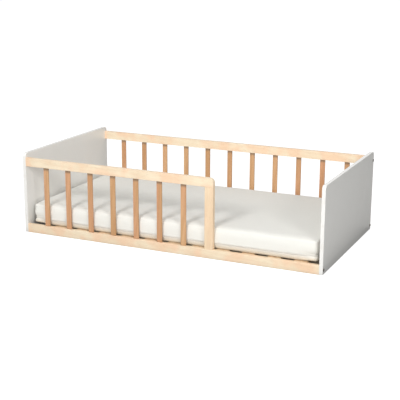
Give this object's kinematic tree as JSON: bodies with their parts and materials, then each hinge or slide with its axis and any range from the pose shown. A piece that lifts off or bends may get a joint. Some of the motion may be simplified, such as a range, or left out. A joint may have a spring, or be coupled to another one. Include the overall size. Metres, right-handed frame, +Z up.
{
  "type": "toddler bed",
  "caption": "Low toddler bed: two solid end panels, slatted rails, a part-length front guard beside an open entrance, a roll-out slatted base and a foam mattress.",
  "frame": {"origin": "middle of the bed's footprint, on the floor", "axes": "+X along the bed from the panel where the guard starts towards the open entrance end, -Y towards the side the child climbs in from, +Z up"},
  "size_m": [1.467, 0.75, 0.38],
  "materials": {
    "white_panel": "white melamine-faced board, satin",
    "rail_wood": "pale pine, clear matt lacquer",
    "slat_wood": "steamed beech, clear matt lacquer",
    "batten_wood": "planed pine, unfinished",
    "base_slat_wood": "planed pine, unfinished",
    "dowel_wood": "fluted beech",
    "bolt_steel": "dark bronze plated",
    "nut_steel": "zinc plated",
    "screw_steel": "zinc plated",
    "staple_steel": "galvanised wire",
    "tape_webbing": "woven webbing",
    "foam": "open-cell foam",
    "cotton_cover": "unbleached woven cotton",
    "zip_tape": "nylon zip, cream"
  },
  "bodies": {
    "frame": {"left_panel": "white_panel", "right_panel": "white_panel", "front_bottom_rail": "rail_wood", "guard_top_rail": "rail_wood", "guard_post": "rail_wood", "guard_slat_1": "slat_wood", "guard_slat_2": "slat_wood", "guard_slat_3": "slat_wood", "guard_slat_4": "slat_wood", "guard_slat_5": "slat_wood", "guard_slat_6": "slat_wood", "guard_slat_7": "slat_wood", "back_top_rail": "rail_wood", "back_bottom_rail": "rail_wood", "back_slat_1": "slat_wood", "back_slat_2": "slat_wood", "back_slat_3": "slat_wood", "back_slat_4": "slat_wood", "back_slat_5": "slat_wood", "back_slat_6": "slat_wood", "back_slat_7": "slat_wood", "back_slat_8": "slat_wood", "back_slat_9": "slat_wood", "back_slat_10": "slat_wood", "back_slat_11": "slat_wood", "left_connector_bolts": "bolt_steel", "right_connector_bolts": "bolt_steel", "left_barrel_nuts": "nut_steel", "right_barrel_nuts": "nut_steel", "left_rail_dowels": "dowel_wood", "right_rail_dowels": "dowel_wood", "post_dowels": "dowel_wood", "front_batten": "batten_wood", "back_batten": "batten_wood", "front_batten_screws": "screw_steel", "back_batten_screws": "screw_steel"},
    "slat_base": {"base_slat_1": "base_slat_wood", "base_slat_2": "base_slat_wood", "base_slat_3": "base_slat_wood", "base_slat_4": "base_slat_wood", "base_slat_5": "base_slat_wood", "base_slat_6": "base_slat_wood", "base_slat_7": "base_slat_wood", "base_slat_8": "base_slat_wood", "base_slat_9": "base_slat_wood", "base_slat_10": "base_slat_wood", "base_slat_11": "base_slat_wood", "front_tape": "tape_webbing", "back_tape": "tape_webbing", "tape_staples": "staple_steel"},
    "mattress": {"mattress_core": "foam", "mattress_cover": "cotton_cover", "cover_zip": "zip_tape"}
  },
  "joints": [
    {"name": "slat_base_lift", "type": "slide", "parent": "frame", "child": "slat_base", "axis": [0, 0, 1], "range_m": [0, 0.38]},
    {"name": "mattress_lift", "type": "slide", "parent": "slat_base", "child": "mattress", "axis": [0, 0, 1], "range_m": [0, 0.36]}
  ]
}
